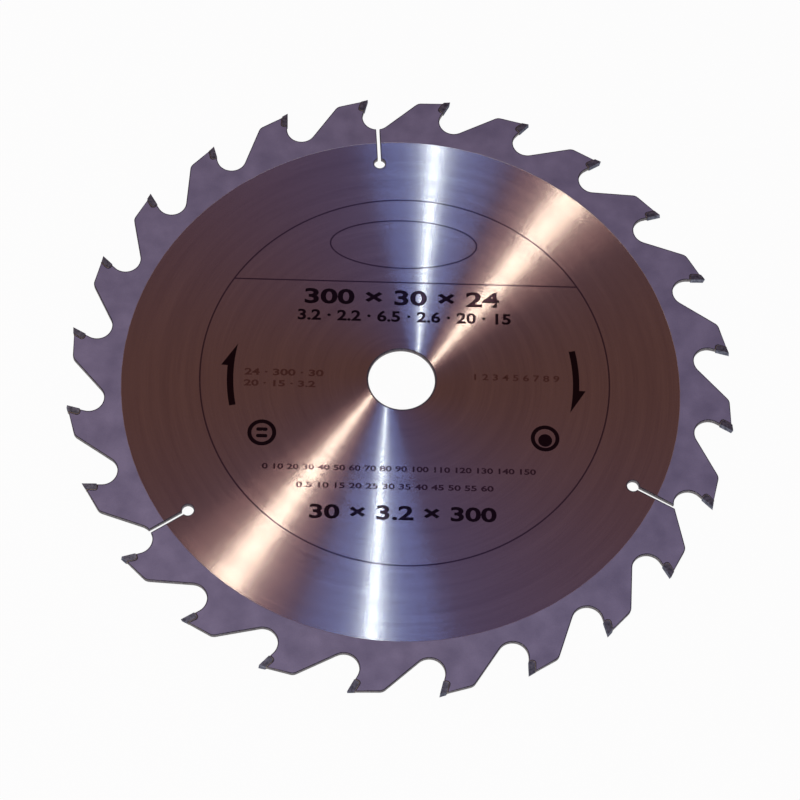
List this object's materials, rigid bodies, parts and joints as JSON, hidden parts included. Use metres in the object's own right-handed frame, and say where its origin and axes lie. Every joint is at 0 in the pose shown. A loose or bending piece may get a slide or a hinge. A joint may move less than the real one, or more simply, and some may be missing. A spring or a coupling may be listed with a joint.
{
  "type": "circular saw blade",
  "caption": "Circular saw blade for wood: a steel disc with a plain bore, hooked teeth with brazed tungsten-carbide tips, deep gullets and keyhole expansion slots.",
  "frame": {"origin": "centre of the bore, in the middle of the plate's thickness", "axes": "+Z along the blade's axis towards the printed side, +Y through the cutting point of tooth 1"},
  "size_m": [0.3, 0.3, 0.0032],
  "materials": {
    "saw_steel": "ground around the bore, matte at the teeth",
    "tungsten_carbide": "ground, dark grey",
    "silver_braze": "dull, as brazed",
    "marking_ink": "thin printed ink"
  },
  "bodies": {
    "root": {"saw_plate": "saw_steel", "carbide_tip_01": "tungsten_carbide", "carbide_tip_02": "tungsten_carbide", "carbide_tip_03": "tungsten_carbide", "carbide_tip_04": "tungsten_carbide", "carbide_tip_05": "tungsten_carbide", "carbide_tip_06": "tungsten_carbide", "carbide_tip_07": "tungsten_carbide", "carbide_tip_08": "tungsten_carbide", "carbide_tip_09": "tungsten_carbide", "carbide_tip_10": "tungsten_carbide", "carbide_tip_11": "tungsten_carbide", "carbide_tip_12": "tungsten_carbide", "carbide_tip_13": "tungsten_carbide", "carbide_tip_14": "tungsten_carbide", "carbide_tip_15": "tungsten_carbide", "carbide_tip_16": "tungsten_carbide", "carbide_tip_17": "tungsten_carbide", "carbide_tip_18": "tungsten_carbide", "carbide_tip_19": "tungsten_carbide", "carbide_tip_20": "tungsten_carbide", "carbide_tip_21": "tungsten_carbide", "carbide_tip_22": "tungsten_carbide", "carbide_tip_23": "tungsten_carbide", "carbide_tip_24": "tungsten_carbide"}
  },
  "joints": []
}
